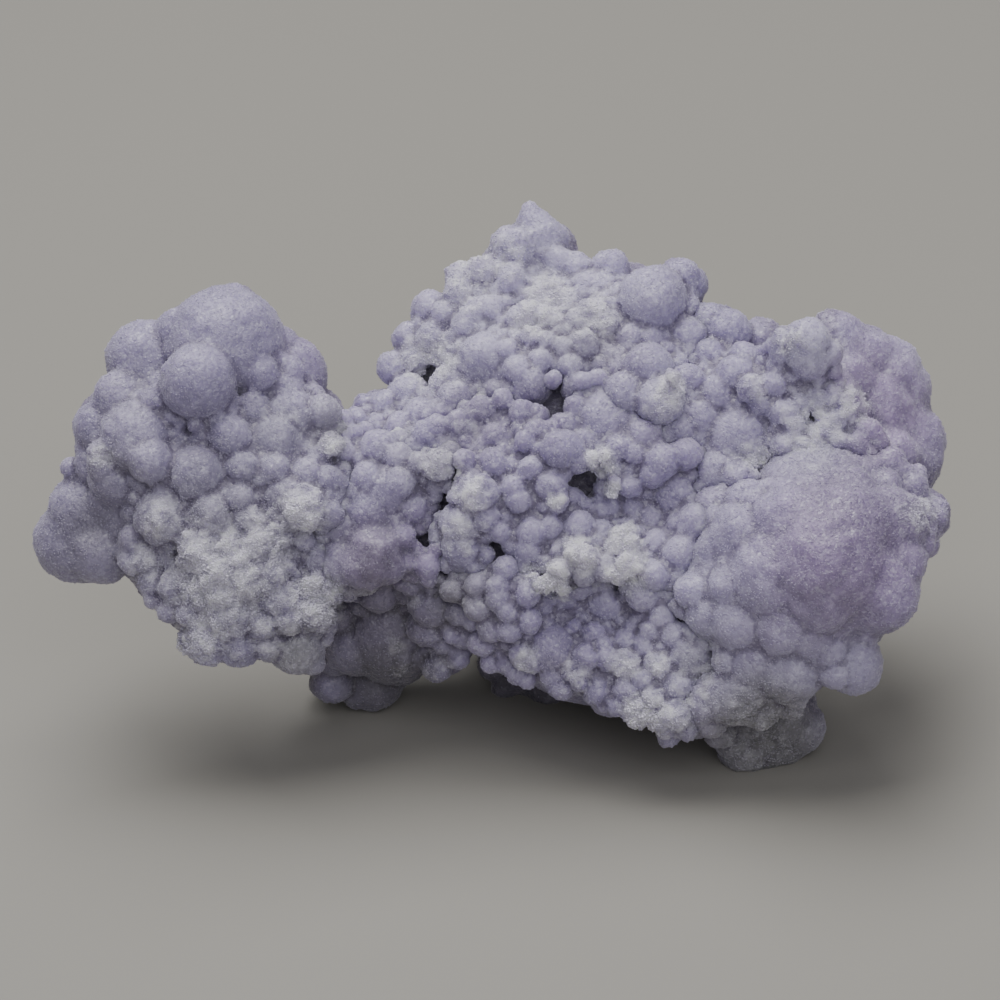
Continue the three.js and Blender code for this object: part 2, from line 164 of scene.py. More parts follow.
BULGE_LUMPS = [
    (23.2, -4.4, 7.5, 4.4), (19.3, -5.4, 5.6, 3.0), (26.9, -6.5, 6.0, 3.1), (27.7, -7.2, 5.8, 2.2),
    (23.0, -7.2, 6.7, 2.2), (24.8, -2.0, 6.3, 3.2), (27.6, -2.0, 4.4, 2.9), (29.6, -1.6, 1.8, 1.7),
    (20.6, -1.6, 5.0, 2.7), (17.4, -2.4, 3.4, 2.5), (16.5, -6.1, 4.0, 1.6), (13.7, -6.5, 2.4, 1.4),
    (17.0, -8.6, 3.9, 2.0), (15.0, -8.2, 2.8, 1.8), (20.2, -9.2, 5.0, 1.9), (20.7, -12.3, 3.4, 2.2),
    (18.2, -11.6, 2.8, 1.8), (25.2, -11.6, 3.4, 2.3), (23.9, -12.3, 3.4, 1.3), (23.5, -10.9, 3.9, 1.2),
    (16.7, -13.9, 1.8, 2.3), (15.9, -11.6, 2.0, 0.9), (14.5, -14.6, 1.0, 1.6), (15.1, -15.9, -0.2, 1.15),
    (18.2, -13.6, 1.9, 1.1), (20.6, 0.0, 2.8, 1.7), (22.9, 0.8, 2.6, 1.5), (25.2, 0.6, 3.0, 1.7),
    (27.4, 0.9, 1.6, 1.4), (27.9, 2.8, -0.2, 1.1), (25.3, 2.1, 0.6, 1.1), (23.5, 1.9, 0.6, 1.1),
    (26.6, 2.4, 0.2, 0.9), (29.4, 0.9, 0.4, 1.3), (30.3, -0.4, 0.0, 1.1), (30.3, -2.2, 0.4, 1.2),
    (17.8, 0.0, 1.8, 1.6), (15.2, -0.6, 1.2, 1.6), (18.4, 0.4, 1.8, 0.9), (15.2, -3.6, 2.0, 1.6),
    (28.6, -4.6, 4.6, 2.0), (22.2, -10.0, 4.6, 1.4),
]
FOOT_LUMPS = [
    (19.6, -16.6, -4.4, 2.5), (17.5, -17.8, -4.6, 1.9), (21.1, -16.2, -4.2, 2.1), (16.6, -17.2, -4.0, 1.4),
    (19.0, -18.2, -5.4, 1.4), (15.8, -16.6, -2.8, 1.2),
]

REAR_LUMPS = [
    (-0.4, -11.6, -14.4, 1.3), (1.6, -12.6, -14.4, 1.3), (3.6, -13.8, -14.6, 1.5), (6.0, -14.8, -14.8, 1.4),
    (8.0, -15.4, -15.0, 1.3), (2.6, -14.4, -15.4, 1.1), (4.8, -15.5, -15.8, 1.1), (0.4, -13.4, -15.4, 1.0),
]

# A swell is across, up, reach, and how far the lumps there are raised toward the eye. A minus sinks them.
SWELLS = [
    (10.8, -0.8, 2.4, -1.7), (8.6, -8.8, 2.4, -1.5), (4.6, -8.8, 1.8, -1.2), (-1.2, 4.4, 1.6, -1.2),
    (8.4, 10.6, 1.6, -1.2), (14.6, 0.4, 1.8, -1.2), (3.6, 7.0, 1.8, -1.2), (6.2, 1.0, 1.6, -1.0),
    (-4.6, -1.2, 1.8, -1.2), (0.8, -3.4, 1.2, -0.8), (-5.4, 9.0, 1.8, -1.0), (5.6, -4.2, 1.8, 1.0),
    (9.2, -4.8, 1.8, 0.9), (-2.2, 0.2, 2.0, 0.9), (11.2, 8.0, 2.4, 0.8), (4.2, 3.4, 1.6, 0.6),
    (22.4, 6.0, 1.4, -1.2), (-17.2, 6.6, 2.6, -1.0), (-13.6, -0.6, 1.8, 0.8), (-22.6, 4.6, 1.6, -0.9),
    (6.6, -12.4, 2.2, 0.6), (-24.0, -3.8, 1.4, -0.8), (13.0, -9.4, 1.8, -0.9), (-9.0, -4.4, 2.2, 0.7),
]

# A core backs the lumps: its middle as across, up and front, its three radii, then how many lumps go
# round its hidden side, times REAR_CROWD, and the share of the way round where they begin.
LEFT_CORES = [
    (-20.5, 1.5, -7.6, 8.4, 10.8, 5.6, 60, -0.05), (-29.0, -1.2, -8.4, 3.0, 4.0, 3.0, 14, 0.1),
    (-16.8, -6.2, -5.6, 4.0, 4.2, 3.2, 8, 0.3),
]
NECK_CORES = [(-8.6, -0.8, -6.4, 5.0, 3.8, 3.4, 12, 0.2)]
CENTRE_CORES = [(4.6, 1.4, -10.4, 10.6, 9.6, 6.4, 0, 0.2)]
LOWER_CORES = [(6.6, -9.0, -9.0, 6.4, 5.8, 5.4, 10, 0.3)]
TOP_CORES = [(3.4, 10.4, -12.6, 7.4, 7.0, 5.6, 34, 0.05)]
UNDER_CORES = [(-7.6, -8.4, -12.4, 4.2, 5.0, 5.6, 18, 0.1)]
REAR_CORES = [(5.0, 0.8, -15.0, 14.0, 10.8, 7.8, 70, 0.05), (7.0, -8.5, -19.0, 9.0, 7.5, 5.5, 44, -0.3)]
RIGHT_CORES = [(19.6, 4.6, -6.8, 7.2, 6.6, 4.4, 8, 0.3), (26.4, 3.6, -11.6, 4.2, 6.8, 4.2, 30, 0.1)]
BULGE_CORES = [(22.6, -4.0, -2.2, 6.2, 8.4, 6.0, 20, 0.2), (14.4, -11.0, -4.6, 5.4, 4.4, 3.8, 8, 0.3)]
FOOT_CORES = [(19.2, -15.2, -6.6, 2.8, 3.4, 2.6, 8, 0.1)]

# A pit is across, up and reach. Nothing fills it from behind.
PITS = [
    (6.1, 1.2, 1.3), (3.7, 7.0, 1.3), (19.4, 2.1, 1.2), (-5.3, 9.2, 1.2), (-4.0, -0.4, 0.8),
    (-5.2, -2.8, 0.9), (-8.3, -2.0, 0.7), (-1.8, 1.6, 0.5), (0.0, -3.6, 0.8), (8.2, -6.3, 0.8),
    (19.3, 4.9, 0.5), (21.0, -8.3, 0.4), (23.5, -9.7, 0.4), (12.5, -8.4, 0.7), (15.2, -10.7, 0.7),
    (1.5, 10.5, 0.4), (6.8, 10.2, 0.4), (-18.6, 7.9, 0.6), (-26.8, -0.8, 0.6), (-22.4, 5.0, 0.8),
    (-23.2, -3.9, 0.6), (-13.4, -2.8, 0.45), (-1.1, 14.8, 0.4), (4.5, 14.7, 0.4), (22.3, 6.1, 0.5),
    (14.0, -12.4, 0.4), (10.0, -9.2, 0.5), (-6.8, -3.8, 0.5), (9.8, -0.2, 0.5), (5.8, 0.2, 0.5),
    (11.0, -3.4, 0.6), (-3.8, -5.2, 0.6),
]

# The front is mapped in cells of the view to find hollows between the lumps. Reaches and LINING_STEP count
# cells, and the other lengths are in millimetres.
CELL = 0.3
MAP_ACROSS = np.arange(-34.0, 34.0, CELL)
MAP_UP = np.arange(-21.0, 22.5, CELL)
NOTHING = -99.0
ANY_STEP = 99.0
GAP_REACH = 2
RIM_REACH = 3
LEVEL_REACH = 7

# Small balls fill what is deeper than FILL_DEPTH below the lumps round it.
FILL_REACH = 5
FILL_SHARE = 0.3
FILL_STEP = 2.8
FILL_DEPTH = 0.8
FILL_ROUNDS = 9
FILL_RADII = (0.45, 0.95)
FILL_SINK = (0.2, 0.7)
FILL_SEED = 7
OPEN_HOLLOW = 9.0

# The lining lies just behind the front, and PIT_DEPTH behind it in the pits.
LINING_STEP = 5
LINING_REACH = 6
LINING_RADIUS = 2.0
LINING_SINK = 0.3
PIT_DEPTH = 2.4

# Rear lumps have radii from REAR_SMALL to REAR_LARGE, the more of them small the higher REAR_POWER is, and
# are sunk into their core by a share of their radius between the two of REAR_SINK.
REAR_SMALL = 0.8
REAR_LARGE = 3.4
REAR_POWER = 2.2
REAR_CROWD = 1.9
REAR_SINK = (0.5, 0.85)
REAR_SWAY = 0.4
REAR_OVERHANG = 0.2
REAR_LEAST = 0.6

# A ball is uneven by these shares of its radius, and has a finer mesh from FINE_FROM on.
UNEVEN = (0.95, 1.06)
FINE_FROM = 2.4

# A relief is its name, the size of its clouds and how far they move the skin, in millimetres.
VOXEL_FINE = 0.185
VOXEL_COARSE = 0.34
CLOUD_DETAIL = 2
SKIN_RELIEF = (("swell", 1.3, 0.30), ("knobs", 0.55, 0.12), ("sugar", 0.26, 0.07))


def true_scale(depth):
    """What stands farther from the eye looks smaller, so it is made larger by this much."""
    return 1 - depth / VIEW_DISTANCE


def place(across, up, depth):
    """A point of the view, in metres in the stone's own frame."""
    scale = true_scale(depth)
    return (MIDDLE + ACROSS * (across * scale) + UP * (up * scale) + FRONT * depth) * MM


def swell_at(a, u):
    """How far the front is raised or sunk at a spot of the view, in millimetres."""
    return sum(
        rise * math.exp(-((a - x) ** 2 + (u - y) ** 2) / (reach * reach)) for x, y, reach, rise in SWELLS)


def as_balls(lumps):
    """Lumps as balls: across, up, depth of the middle, and radius."""
    return [(a, u, front + swell_at(a, u) - r, r) for a, u, front, r in lumps]


def stamp(height, ball):
    """Raises the map of the front to the front of a ball."""
    a, u, depth, r = ball
    columns = np.abs(MAP_ACROSS - a) < r
    rows = np.abs(MAP_UP - u) < r
    away = ((MAP_ACROSS[columns] - a) / r)[:, None] ** 2 + ((MAP_UP[rows] - u) / r)[None, :] ** 2
    front = np.where(away < 1, depth + r * np.sqrt(np.clip(1 - away, 0, 1)), NOTHING)
    block = np.ix_(columns, rows)
    height[block] = np.maximum(height[block], front)


def disc(reach):
    """The steps from a cell to all cells within reach of it."""
    span = range(-reach, reach + 1)
    return [(i, j) for i in span for j in span if i * i + j * j <= reach * reach]


def pit_cells():
    """The cells that lie in a pit."""
    across = MAP_ACROSS[:, None]
    up = MAP_UP[None, :]
    return np.any([(across - a) ** 2 + (up - u) ** 2 < reach ** 2 for a, u, reach in PITS], axis=0)


def grown(cells, reach):
    """The cells and all within reach of them."""
    return np.any([np.roll(cells, shift, (0, 1)) for shift in disc(reach)], axis=0)


def outside_cells(height):
    """The cells beyond the outline. Gaps too narrow to pass through count as inside."""
    known = height > NOTHING
    walls = grown(known, GAP_REACH)
    outside = np.zeros_like(known)
    outside[[0, -1], :] = True
    outside[:, [0, -1]] = True
    while True:
        wider = grown(outside, 1) & ~walls
        wider |= outside
        if wider.sum() == outside.sum():
            return grown(outside, GAP_REACH) & ~known
        outside = wider


def surroundings(height, reach, step):
    """The mean front round each cell, from cells within a step of its depth, and the share that is known."""
    around = disc(reach)
    known = height > NOTHING
    total = np.zeros_like(height)
    count = np.zeros_like(height)
    seen = np.zeros_like(height)
    for shift in around:
        other = np.roll(height, shift, (0, 1))
        here = other > NOTHING
        level = here & (~known | (np.abs(other - height) < step))
        total += np.where(level, other, 0)
        count += level
        seen += here
    return total / np.maximum(count, 1), seen / len(around)


def fill_balls(height, pits, rng):
    """Small balls in the hollows between the lumps, set back a little, and the pits left open."""
    added = []
    for _ in range(FILL_ROUNDS):
        mean, share = surroundings(height, FILL_REACH, FILL_STEP)
        outside = outside_cells(height)
        hollow = np.where(height > NOTHING, mean - height, OPEN_HOLLOW * (share > FILL_SHARE))
        hollow[pits | grown(outside, RIM_REACH)] = 0
        placed = []
        for cell in np.argsort(hollow, axis=None)[::-1]:
            i, j = np.unravel_index(cell, height.shape)
            if hollow[i, j] < FILL_DEPTH:
                break
            a, u = MAP_ACROSS[i], MAP_UP[j]
            r = rng.uniform(*FILL_RADII)
            if any((a - b[0]) ** 2 + (u - b[1]) ** 2 < (r + b[3]) ** 2 for b in placed):
                continue
            placed.append((a, u, mean[i, j] - rng.uniform(*FILL_SINK) - r, r))
        if not placed:
            break
        for ball in placed:
            stamp(height, ball)
        added += placed
    return added


def lining_balls(height, pits):
    """Balls just behind the mapped front, so that no daylight or bare core shows between the lumps."""
    mean, share = surroundings(height, LINING_REACH, FILL_STEP)
    gap = (pits | (height == NOTHING)) & ~outside_cells(height) & (share > 0)
    closed = np.where(gap, mean - PIT_DEPTH, height)
    lowest = np.full_like(height, -NOTHING)
    for shift in disc(LINING_REACH):
        lowest = np.minimum(lowest, np.roll(closed, shift, (0, 1)))
    lining = []
    for i in range(0, len(MAP_ACROSS), LINING_STEP):
        for j in range(0, len(MAP_UP), LINING_STEP):
            if lowest[i, j] > NOTHING:
                depth = lowest[i, j] - LINING_SINK - LINING_RADIUS
                lining.append((MAP_ACROSS[i], MAP_UP[j], depth, LINING_RADIUS))
    return lining


def share_out(balls, masses):
    """Gives each ball to the mass whose nearest lump is closest to it."""
    owners = [name for name, lumps in masses.items() for _ in lumps]
    known = np.array([ball for lumps in masses.values() for ball in lumps])
    shares = {name: [] for name in masses}
    for ball in balls:
        gap = np.linalg.norm(known[:, :3] - np.array(ball[:3]), axis=1) - known[:, 3]
        shares[owners[int(np.argmin(gap))]].append(ball)
    return shares


def room_map(height, cores):
    """How far each cell lies inside the outline of the front and of the hidden cores, in millimetres."""
    inside = height > NOTHING
    for a, u, _, ra, ru, *_ in cores:
        inside |= ((MAP_ACROSS[:, None] - a) / ra) ** 2 + ((MAP_UP[None, :] - u) / ru) ** 2 < 1
    room = np.zeros_like(height)
    ring = disc(1)
    while inside.any():
        room += inside * CELL
        inside = np.all([np.roll(inside, shift, (0, 1)) for shift in ring], axis=0)
    return room


def rear_lumps(core, room, rng):
    """Lumps on the side of a core that the view hides, kept inside the outline of the front."""
    a, u, depth, ra, ru, rf, count, edge = core
    lumps = []
    spots = round(count * REAR_CROWD)
    for index in range(spots):
        back = edge + (1 - edge) * rng.uniform(index, index + 1) / spots
        ring = math.sqrt(max(0.0, 1 - back * back))
        angle = index * GOLDEN_ANGLE + rng.uniform(-REAR_SWAY, REAR_SWAY)
        r = REAR_SMALL + (REAR_LARGE - REAR_SMALL) * rng.random() ** REAR_POWER
        sink = 1 - rng.uniform(*REAR_SINK) * r / min(ra, ru, rf)
        across = a + ra * ring * math.cos(angle) * sink
        up = u + ru * ring * math.sin(angle) * sink
        i = int(np.argmin(np.abs(MAP_ACROSS - across)))
        j = int(np.argmin(np.abs(MAP_UP - up)))
        r = min(r, room[i, j] + REAR_OVERHANG)
        if r > REAR_LEAST:
            lumps.append((across, up, depth - rf * back * sink, r))
    return lumps


def corners_and_sides(bm):
    """The corners and the sides of a small shape, as arrays. The shape itself is freed."""
    bm.verts.ensure_lookup_table()
    corners = np.array([v.co[:] for v in bm.verts])
    sides = np.array([[v.index for v in f.verts] for f in bm.faces])
    bm.free()
    return corners, sides


def unit_ball(steps):
    """A ball of radius one."""
    bm = bmesh.new()
    bmesh.ops.create_icosphere(bm, subdivisions=steps, radius=1.0)
    return corners_and_sides(bm)


def grain_shape():
    """The eight-sided shape of one crystal grain, of radius one."""
    bm = bmesh.new()
    bmesh.ops.create_uvsphere(bm, u_segments=4, v_segments=2, radius=1.0)
    bmesh.ops.triangulate(bm, faces=bm.faces[:])
    return corners_and_sides(bm)


BALL = unit_ball(3)
FINE_BALL = unit_ball(4)
GRAIN = grain_shape()


def shaped(unit, matrix, middle):
    """The unit ball turned and stretched by a matrix, in metres, about a point of the view."""
    corners, sides = unit
    return corners @ np.array(matrix.to_3x3()).T * MM + np.array(place(*middle)), sides


def ball_shape(ball, rng):
    """One slightly uneven ball of stone."""
    a, u, depth, r = ball
    radius = r * true_scale(depth)
    uneven = Matrix.Diagonal([radius * rng.uniform(*UNEVEN) for _ in range(3)])
    angle = rng.uniform(0, math.tau)
    axis = Vector([rng.gauss(0, 1) for _ in range(3)]).normalized()
    turn = Matrix.Rotation(angle, 3, axis)
    return shaped(FINE_BALL if r > FINE_FROM else BALL, turn @ uneven, (a, u, depth))


def core_shape(core):
    """The stretched ball of a core, set square to the view."""
    a, u, depth, ra, ru, rf = core[:6]
    return shaped(FINE_BALL, VIEW_AXES @ Matrix.Diagonal((ra, ru, rf)), (a, u, depth))


def joined_mesh(name, shapes):
    """Many shapes as one mesh."""
    starts = np.cumsum([0] + [len(corners) for corners, _ in shapes])
    mesh = bpy.data.meshes.new(name)
    mesh.from_pydata(
        np.concatenate([corners for corners, _ in shapes]).tolist(), [],
        np.concatenate([sides + start for (_, sides), start in zip(shapes, starts)]).tolist())
    return mesh


def new_object(name, mesh):
    """Puts a mesh into the scene."""
    piece = bpy.data.objects.new(name, mesh)
    bpy.context.scene.collection.objects.link(piece)
    return piece


def clouds(name, size):
    """A cloud pattern that moves a skin in and out."""
    texture = bpy.data.textures.new(name, "CLOUDS")
    texture.noise_scale = size * MM
    texture.noise_depth = CLOUD_DETAIL
    return texture


def fused_skin(name, balls, cores, voxel, soften, rng):
    """All the lumps of one mass as a single closed skin, softly uneven, cut flat where it stands."""
    shapes = [core_shape(core) for core in cores] + [ball_shape(ball, rng) for ball in balls]
    source = new_object(name + "_balls", joined_mesh(name + "_balls", shapes))
    remesh = source.modifiers.new("fuse", "REMESH")
    remesh.mode = "VOXEL"
    remesh.voxel_size = voxel * MM
    smooth = source.modifiers.new("soften", "SMOOTH")
    smooth.iterations = soften
    smooth.factor = 0.5
    for label, size, strength in SKIN_RELIEF:
        move = source.modifiers.new(label, "DISPLACE")
        move.texture = clouds(name + "_" + label, size)
        move.texture_coords = "LOCAL"
        move.mid_level = 0.5
        move.strength = strength * MM
    mesh = bpy.data.meshes.new_from_object(source.evaluated_get(bpy.context.evaluated_depsgraph_get()))
    bpy.data.objects.remove(source)
    mesh.name = name
    return cut_flat(mesh)


def cut_flat(mesh):
    """Cuts a skin level where it would go below the surface it stands on, and closes the cut."""
    bm = bmesh.new()
    bm.from_mesh(mesh)
    if min(v.co.z for v in bm.verts) < 0:
        everything = bm.verts[:] + bm.edges[:] + bm.faces[:]
        bmesh.ops.bisect_plane(bm, geom=everything, plane_co=(0, 0, 0), plane_no=(0, 0, -1), clear_outer=True)
        rim = [e for e in bm.edges if e.is_boundary]
        bmesh.ops.holes_fill(bm, edges=rim)
    bm.to_mesh(mesh)
    bm.free()
    mesh.shade_smooth()
    return mesh


def mesh_arrays(mesh):
    """Corner points and normals of a mesh, and its edges, as arrays."""
    count = len(mesh.vertices)
    points = np.empty(count * 3)
    mesh.vertices.foreach_get("co", points)
    normals = np.empty(count * 3)
    mesh.vertices.foreach_get("normal", normals)
    edges = np.empty(len(mesh.edges) * 2, dtype=np.int64)
    mesh.edges.foreach_get("vertices", edges)
    return points.reshape(-1, 3), normals.reshape(-1, 3), edges.reshape(-1, 2)


def spread(values, edges, rounds):
    """Evens values out along the edges, a given number of times."""
    degree = np.bincount(edges.ravel(), minlength=len(values)).astype(float)
    degree[degree == 0] = 1
    ends = np.ascontiguousarray(edges.T)
    shape = (-1,) + (1,) * (values.ndim - 1)
    for _ in range(rounds):
        columns = [
            np.bincount(ends[0], weights=column[ends[1]], minlength=len(values))
            + np.bincount(ends[1], weights=column[ends[0]], minlength=len(values))
            for column in values.reshape(len(values), -1).T]
        total = np.stack(columns, axis=1).reshape(values.shape)
        values = 0.5 * values + 0.5 * total / degree.reshape(shape)
    return values


def view_coordinates(points):
    """Across, up and front of points in metres, as the view sees them, in millimetres."""
    offset = points / MM - np.array(MIDDLE)
    depth = offset @ np.array(FRONT)
    scale = true_scale(depth)
    return offset @ np.array(ACROSS) / scale, offset @ np.array(UP) / scale, depth


# A patch is across, up, reach and strength. Crusts are white and crumbly, and green patches are grey green.
CRUST_PATCHES = [
    (-20.0, -5.0, 4.6, 0.75), (-14.2, -0.8, 2.2, 0.85), (-17.0, -3.0, 3.2, 0.65), (-13.2, -7.0, 2.4, 0.9),
    (-21.0, -9.6, 2.6, 0.75), (-18.0, -6.4, 5.6, 0.5), (18.6, -16.6, 3.0, 0.42), (13.4, -13.4, 3.0, 0.4),
    (-24.1, -1.2, 2.0, 0.5), (-25.4, -4.6, 1.8, 0.6), (-28.4, 3.0, 1.2, 0.7), (-12.0, 3.9, 1.0, 0.8),
    (-1.8, 0.4, 1.8, 0.7), (-2.6, -2.4, 2.0, 0.5), (-4.4, 2.6, 1.4, 0.6), (-2.6, 5.4, 1.0, 0.4),
    (8.8, -3.0, 1.6, 1.0), (5.6, -4.0, 1.6, 1.0), (3.8, -5.8, 1.6, 1.0), (9.0, -4.8, 2.0, 0.8),
    (7.2, 2.6, 1.4, 0.9), (8.0, 0.8, 0.8, 1.0), (4.0, -0.1, 0.8, 0.9), (3.4, 14.6, 2.0, 0.9),
    (2.2, 13.0, 1.6, 0.8), (7.0, 13.0, 1.8, 0.7), (-5.0, 10.0, 2.6, 0.7), (-2.4, 15.6, 2.4, 0.5),
    (1.0, 17.4, 2.4, 0.4), (12.2, 7.9, 1.4, 1.0), (11.6, 6.6, 1.6, 0.5), (22.8, 5.6, 3.2, 0.5),
    (25.0, 6.8, 1.6, 0.7), (18.2, 8.0, 1.2, 0.5), (20.6, 11.4, 1.4, 0.5), (10.4, -15.2, 2.2, 0.9),
    (8.9, -11.8, 1.4, 0.7), (11.4, -11.8, 1.2, 0.7), (5.6, -12.6, 1.6, 0.5), (12.4, -15.4, 1.8, 0.6),
    (1.9, -11.4, 1.2, 0.7), (-7.4, -10.4, 0.9, 0.7), (-7.0, -12.0, 1.0, 0.6), (-4.6, -11.9, 1.2, 0.5),
    (-10.2, -14.0, 1.0, 0.5), (2.4, -5.2, 0.8, 0.8), (-6.0, -7.4, 0.7, 0.6), (30.0, -0.8, 1.8, 0.5),
]
PINK_PATCHES = [
    (25.0, -4.0, 7.5, 0.9), (27.0, 7.0, 6.0, 0.9), (20.0, -8.0, 5.0, 0.4), (-9.0, -4.2, 3.2, 0.8),
    (-8.0, -8.0, 4.0, 0.3),
]
GREEN_PATCHES = [
    (-14.6, -10.8, 2.6, 0.9), (19.0, -17.4, 5.4, 1.0), (14.2, -11.2, 2.0, 0.4), (22.0, 10.6, 2.4, 0.2),
    (-20.0, -3.0, 9.0, 0.42), (-16.0, 5.0, 3.0, 0.35),
]
# Dark patches darken the colour, most of all on the lobe under the overhang and low down: painted shade.
DARK_PATCHES = [
    (19.2, -17.4, 4.8, 0.6), (-8.4, -9.0, 4.8, 0.6), (-8.0, -13.0, 5.0, 0.8), (-30.0, -2.4, 4.0, 0.45),
    (-28.4, 2.6, 3.4, 0.25), (-9.0, -4.4, 3.0, 0.4), (-27.0, 7.0, 4.0, 0.2), (-4.4, -7.6, 2.4, 0.6),
    (24.0, -9.6, 4.6, 0.15),
]
PALE_PATCHES = [
    (-4.6, 9.4, 5.0, 0.6), (-1.0, 14.0, 5.0, 0.7), (7.0, 14.4, 5.0, 0.6), (22.0, 11.0, 2.8, 1.0),
    (25.2, -11.8, 2.6, 0.6), (15.0, -9.0, 4.6, 0.5), (20.6, -12.0, 3.4, 0.4), (12.4, -13.0, 3.4, 0.5),
    (-15.4, 4.8, 3.0, 0.3), (3.0, 15.0, 7.0, 0.8), (22.6, 5.6, 3.4, 1.0), (16.8, -14.2, 3.4, 0.6),
    (9.0, -3.6, 4.0, 0.5),
]

# Deep patches are sheltered stretches painted a darker purple: painted shade.
DEEP_SHADE_PATCHES = [
    (-1.6, 5.8, 4.0, 0.85), (3.4, 6.6, 3.0, 0.8), (26.2, -0.2, 5.8, 0.7), (8.8, 10.6, 2.8, 0.5),
    (-8.4, -3.0, 3.4, 0.6), (4.8, -11.0, 2.6, 0.5), (10.6, -0.8, 2.4, 0.4), (-22.0, 4.2, 2.4, 0.4),
    (-18.4, 7.6, 1.6, 0.5), (-28.6, -2.0, 3.4, 0.3),
]

# Soft patches are where lumps have grown together into one broad form.
SOFT_PATCHES = [
    (-19.6, 11.0, 4.4, 0.8), (-25.2, 9.9, 3.2, 0.7), (-15.0, 9.4, 2.4, 0.5), (-20.0, -3.0, 5.4, 0.3),
    (-30.0, -2.0, 4.4, 1.0), (-15.6, 4.6, 3.0, 0.6), (-9.0, -4.2, 3.4, 0.9), (2.8, 18.2, 3.6, 0.8),
    (7.6, 5.4, 3.0, 0.5), (23.2, -4.6, 8.6, 0.95), (27.0, -6.0, 4.0, 0.8), (17.0, 4.4, 2.8, 0.7),
    (21.9, 10.9, 2.2, 0.5), (20.6, -11.4, 3.0, 0.5), (19.0, -17.0, 4.0, 0.3), (14.4, 5.8, 2.0, 0.4),
    (-9.0, -10.0, 4.4, 0.15), (-27.6, 5.0, 3.6, 0.7), (-9.0, 0.4, 2.6, 0.4), (16.8, -14.0, 3.0, 0.7),
    (-1.0, 10.0, 2.4, 0.5), (11.0, 14.0, 3.0, 0.4), (15.4, -3.6, 3.8, 0.7), (16.6, -8.4, 3.6, 0.6),
    (11.4, 5.0, 3.4, 0.5), (16.0, -12.6, 3.0, 0.5), (20.8, -9.2, 3.4, 0.75), (-4.4, 9.8, 4.0, 0.4),
    (-2.6, 14.6, 3.2, 0.45), (6.4, 15.6, 3.0, 0.45), (-15.0, 9.6, 3.0, 0.5), (-26.0, 4.0, 3.0, 0.5),
]

# Far soft patches hold only for what lies farther back than FAR_FRONT.
FAR_SOFT_PATCHES = [(28.6, 5.6, 6.0, 1.0), (26.0, 10.4, 4.4, 1.0), (30.6, -1.0, 2.4, 1.0)]
FAR_FRONT = -4.5

# Patches fade with a power of the distance, and over BACK_FADE in front of the depth where they end.
PATCH_FALL = 1.4
PATCH_POWER = 1.6
BACK_FADE = 3.0
PATCH_BACK = -14.0
SOFT_BACK = -20.0
DARK_BACK = -22.0

# Patches on the hidden side of each mass: how many, their least and greatest reach, and their strength.
HIDDEN_PATCHES = {
    "crust": (9, (0.8, 2.6), 0.9), "pale": (3, (2.0, 5.0), 0.8),
    "pink": (3, (3.0, 6.0), 0.8), "green": (3, (1.5, 4.0), 0.7)}
HIDDEN_FACING = -0.15
HIDDEN_SEED = 100

# A skin is evened out in rounds along its edges. A hollow counts in full at these depths in millimetres.
NEAR_ROUNDS = 6
MID_ROUNDS = 26
NEAR_HOLLOW = 0.05
MID_HOLLOW = 0.16
MERGED = 0.92

# How rough the skin is in millimetres: sand on each point, crumbs and waves. The first of each pair is for
# plain skin, or for soft forms in the waves, and the second for crusts.
SAND = (0.035, 0.10)
CRUMBS = (0.02, 0.17)
CRUMB_ROUNDS = 10
WAVES = (0.10, 0.12)
WAVE_ROUNDS = 40
LUMPY_LIMITS = (-1.5, 2.2)

# The depth below the front round it at which a point starts to count as sunk, and the depth over which it
# comes to count in full. Sunk points, and pits more darkly, are painted in shade. Past SUNK_MOST it belongs
# to the far side.
SUNK_FADE = (1.0, 2.4)
PIT_FADE = (0.5, 1.2)
PIT_SHADE = 0.4
SUNK_MOST = 7
SEEN_SLOPE = 3
SEEN_START = 0.6
SOFT_HOLLOW = 0.6

# The shade under the stone, by how far back and how far down a point lies.
UNDER_SHADE = 0.7
UNDER_BACK = (11.0, 3.0)
UNDER_DOWN = (9.0, 2.0)

# The hollow and dark masks carry painted light and shade into the colour.
MASKS = ("crust", "hollow", "pink", "green", "dark_and_shade", "pale")


def ramp(values, start, length):
    """Rises from 0 at the start to 1 after a length."""
    return np.clip((values - start) / length, 0, 1)


def lumpy(count, edges, rounds, chance):
    """Random swellings of one size over a mesh, with a spread of one."""
    values = spread(chance.normal(0, 1, count), edges, rounds)
    return np.clip(values / values.std(), *LUMPY_LIMITS)


def sunk_below(where):
    """How far each point lies behind the mean front round it, and whether it is in a pit."""
    across, up, front = where
    i = np.clip(np.rint((across - MAP_ACROSS[0]) / CELL).astype(int), 0, len(MAP_ACROSS) - 1)
    j = np.clip(np.rint((up - MAP_UP[0]) / CELL).astype(int), 0, len(MAP_UP) - 1)
    return FRONT_LEVEL[i, j] - front, PIT_MAP[i, j]


def fading(away):
    """How strong a patch is at a squared distance from its middle, as a share of its reach."""
    return np.exp(-PATCH_FALL * away ** PATCH_POWER)


def patch_mask(where, patches, back=PATCH_BACK):
    """How much of a patch lies on each point of the stone's front, from 0 to 1."""
    across, up, front = where
    mask = np.zeros_like(across)
    for a, u, reach, strength in patches:
        away = ((across - a) ** 2 + (up - u) ** 2) / (reach * reach)
        mask = np.maximum(mask, strength * fading(away))
    return mask * ramp(front, back, BACK_FADE)


def chance_patches(points, spots, count, reaches, strength, chance):
    """A mask of patches at spots picked by chance."""
    mask = np.zeros(len(points))
    for spot in chance.choice(spots, count):
        reach = chance.uniform(*reaches) * MM
        away = ((points - points[spot]) ** 2).sum(axis=1) / (reach * reach)
        mask = np.maximum(mask, strength * chance.uniform(0.5, 1.0) * fading(away))
    return mask


